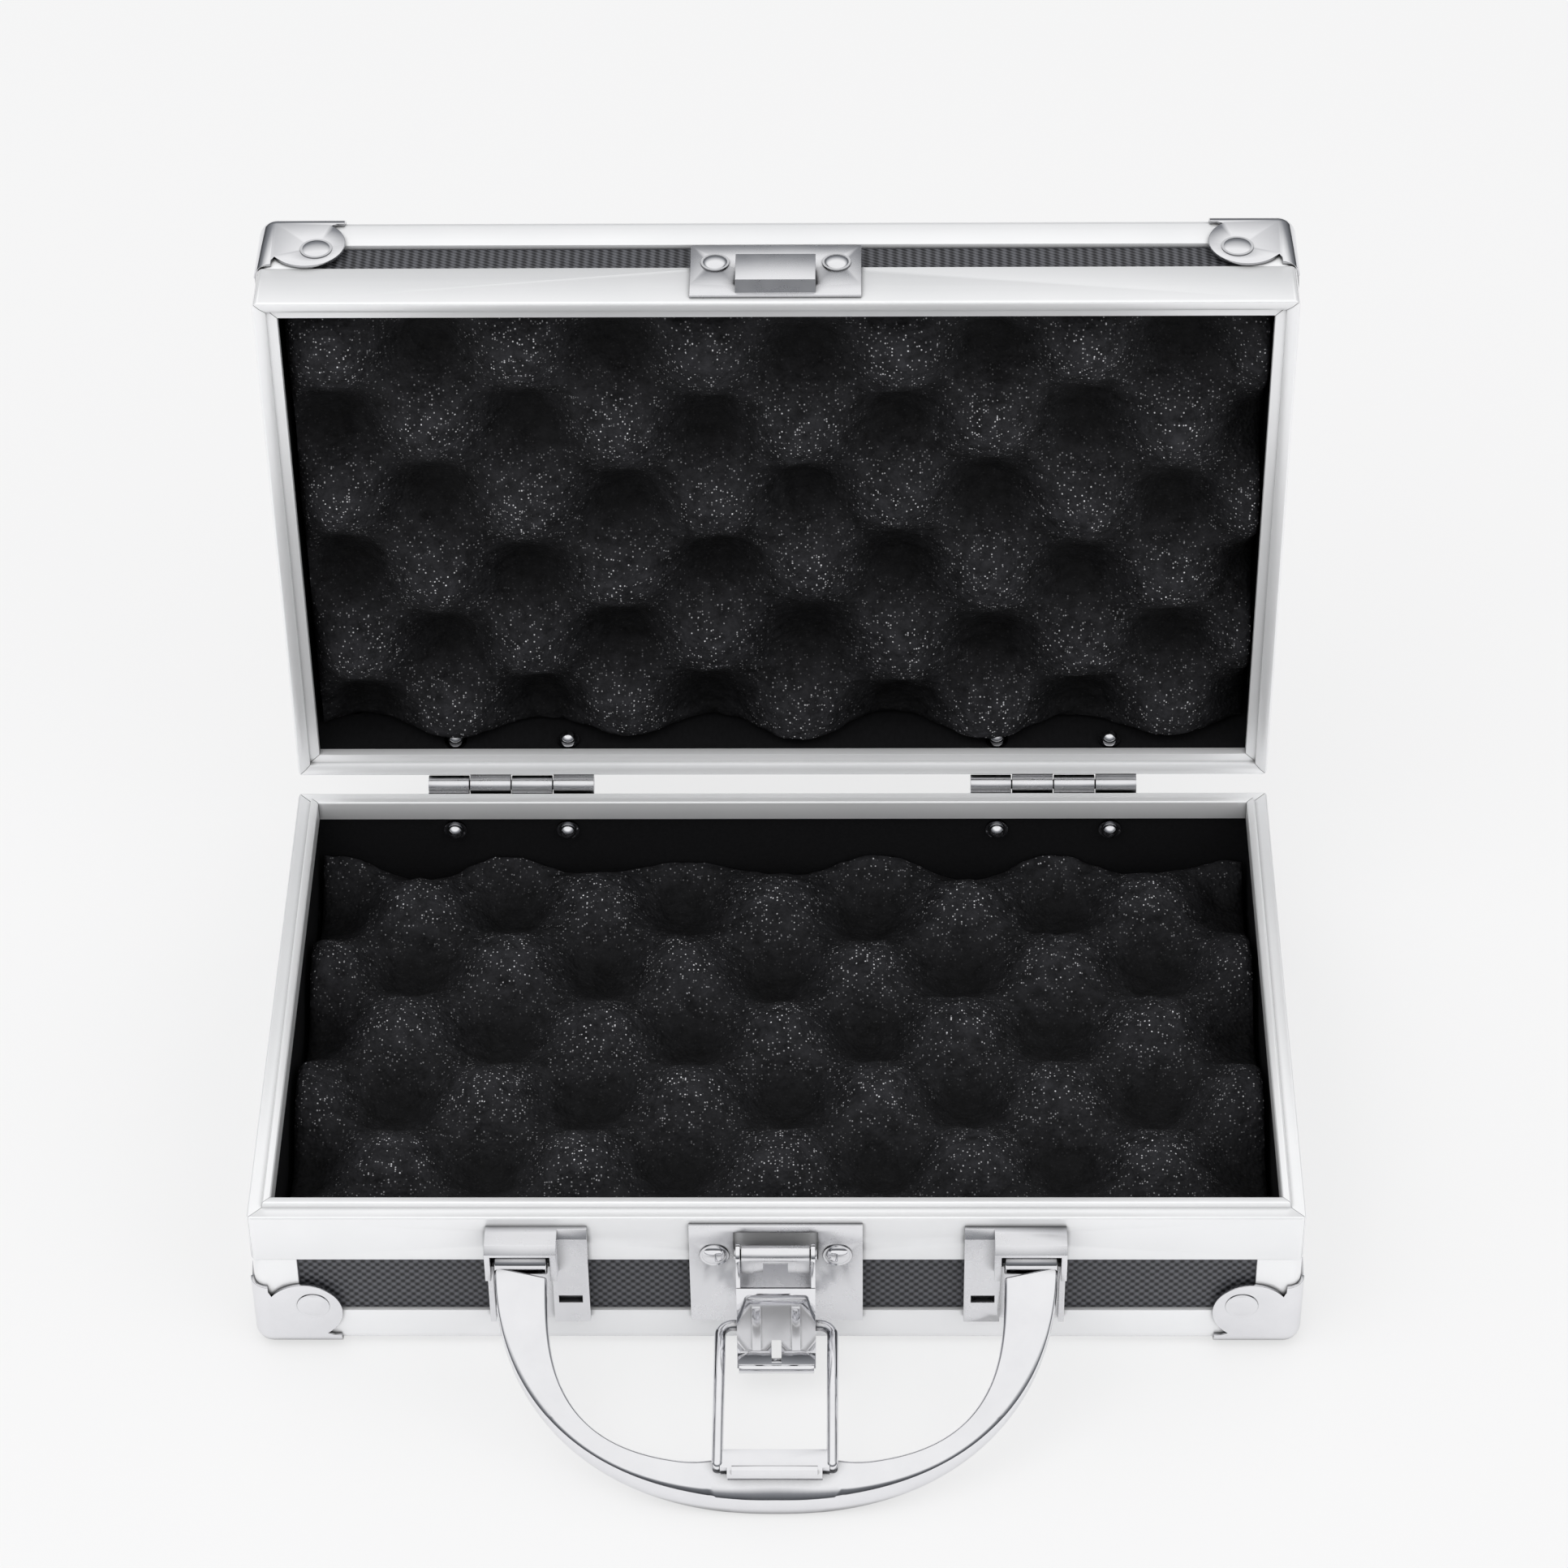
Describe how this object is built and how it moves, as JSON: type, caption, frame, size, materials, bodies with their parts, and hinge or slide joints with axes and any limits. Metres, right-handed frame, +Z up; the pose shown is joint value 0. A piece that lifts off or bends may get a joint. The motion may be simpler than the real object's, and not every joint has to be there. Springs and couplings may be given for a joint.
{
  "type": "microphone carrying case",
  "caption": "Open hard case with black panels in an aluminium frame, corner caps, toggle latch, folding handle and egg-crate foam in base and lid.",
  "frame": {"origin": "middle of the open case's whole footprint, from the bow of the lowered handle to the top of the open lid, on the surface it stands on", "axes": "+X to the right along the front, +Y from the front to the hinges, +Z up"},
  "size_m": [0.243, 0.2339, 0.1946],
  "materials": {
    "frame": "satin extruded, clear anodised",
    "hardware": "bright plated steel",
    "fastener": "bright plated steel",
    "panel": "black laminate on fibreboard, fine woven grain",
    "foam": "open-cell foam cut to an egg-crate surface"
  },
  "bodies": {
    "base": {"base_bottom_panel": "panel", "base_front_panel": "panel", "base_rear_panel": "panel", "base_left_panel": "panel", "base_right_panel": "panel", "base_rim_front": "frame", "base_rim_rear": "frame", "base_rim_left": "frame", "base_rim_right": "frame", "base_edge_front": "frame", "base_edge_rear": "frame", "base_edge_left": "frame", "base_edge_right": "frame", "base_corner_posts": "frame", "base_corner_caps": "hardware", "base_cap_rivets": "hardware", "latch_plate": "hardware", "latch_plate_rivets": "hardware", "latch_pin": "fastener", "handle_bracket_left": "hardware", "handle_bracket_right": "hardware", "handle_bracket_rivets": "hardware", "handle_pins": "fastener", "hinge_base_leaves": "hardware", "hinge_pins": "hardware", "hinge_base_screws": "fastener", "hinge_base_nuts": "fastener"},
    "foam_pad": {"base_foam": "foam"},
    "lid": {"lid_top_panel": "panel", "lid_front_panel": "panel", "lid_rear_panel": "panel", "lid_left_panel": "panel", "lid_right_panel": "panel", "lid_rim_front": "frame", "lid_rim_rear": "frame", "lid_rim_left": "frame", "lid_rim_right": "frame", "lid_edge_front": "frame", "lid_edge_rear": "frame", "lid_edge_left": "frame", "lid_edge_right": "frame", "lid_corner_posts": "frame", "lid_corner_caps": "hardware", "lid_cap_rivets": "hardware", "catch_plate": "hardware", "catch_plate_rivets": "hardware", "hinge_lid_leaves": "hardware", "hinge_lid_screws": "fastener", "hinge_lid_nuts": "fastener", "lid_foam": "foam"},
    "latch_lever": {"latch_lever": "hardware"},
    "latch_bail": {"latch_bail": "hardware"},
    "handle": {"handle": "hardware"}
  },
  "joints": [
    {"name": "lid_hinge", "type": "hinge", "parent": "base", "child": "lid", "pos_m": [0, 0.08288, 0.043], "axis": [-1, 0, 0], "range_deg": [-90, 0]},
    {"name": "latch_lever_pivot", "type": "hinge", "parent": "base", "child": "latch_lever", "pos_m": [0, -0.07052, 0.0375], "axis": [-1, 0, 0], "range_deg": [0, 110]},
    {"name": "latch_bail_pivot", "type": "hinge", "parent": "latch_lever", "child": "latch_bail", "pos_m": [0, -0.07242, 0.0159], "axis": [1, 0, 0], "range_deg": [-98.66, 0]},
    {"name": "handle_pivot", "type": "hinge", "parent": "base", "child": "handle", "pos_m": [0, -0.06852, 0.0335], "axis": [-1, 0, 0], "range_deg": [-45, 60]},
    {"name": "foam_lift_out", "type": "slide", "parent": "base", "child": "foam_pad", "axis": [0, 0, 1], "range_m": [0, 0.045]}
  ]
}
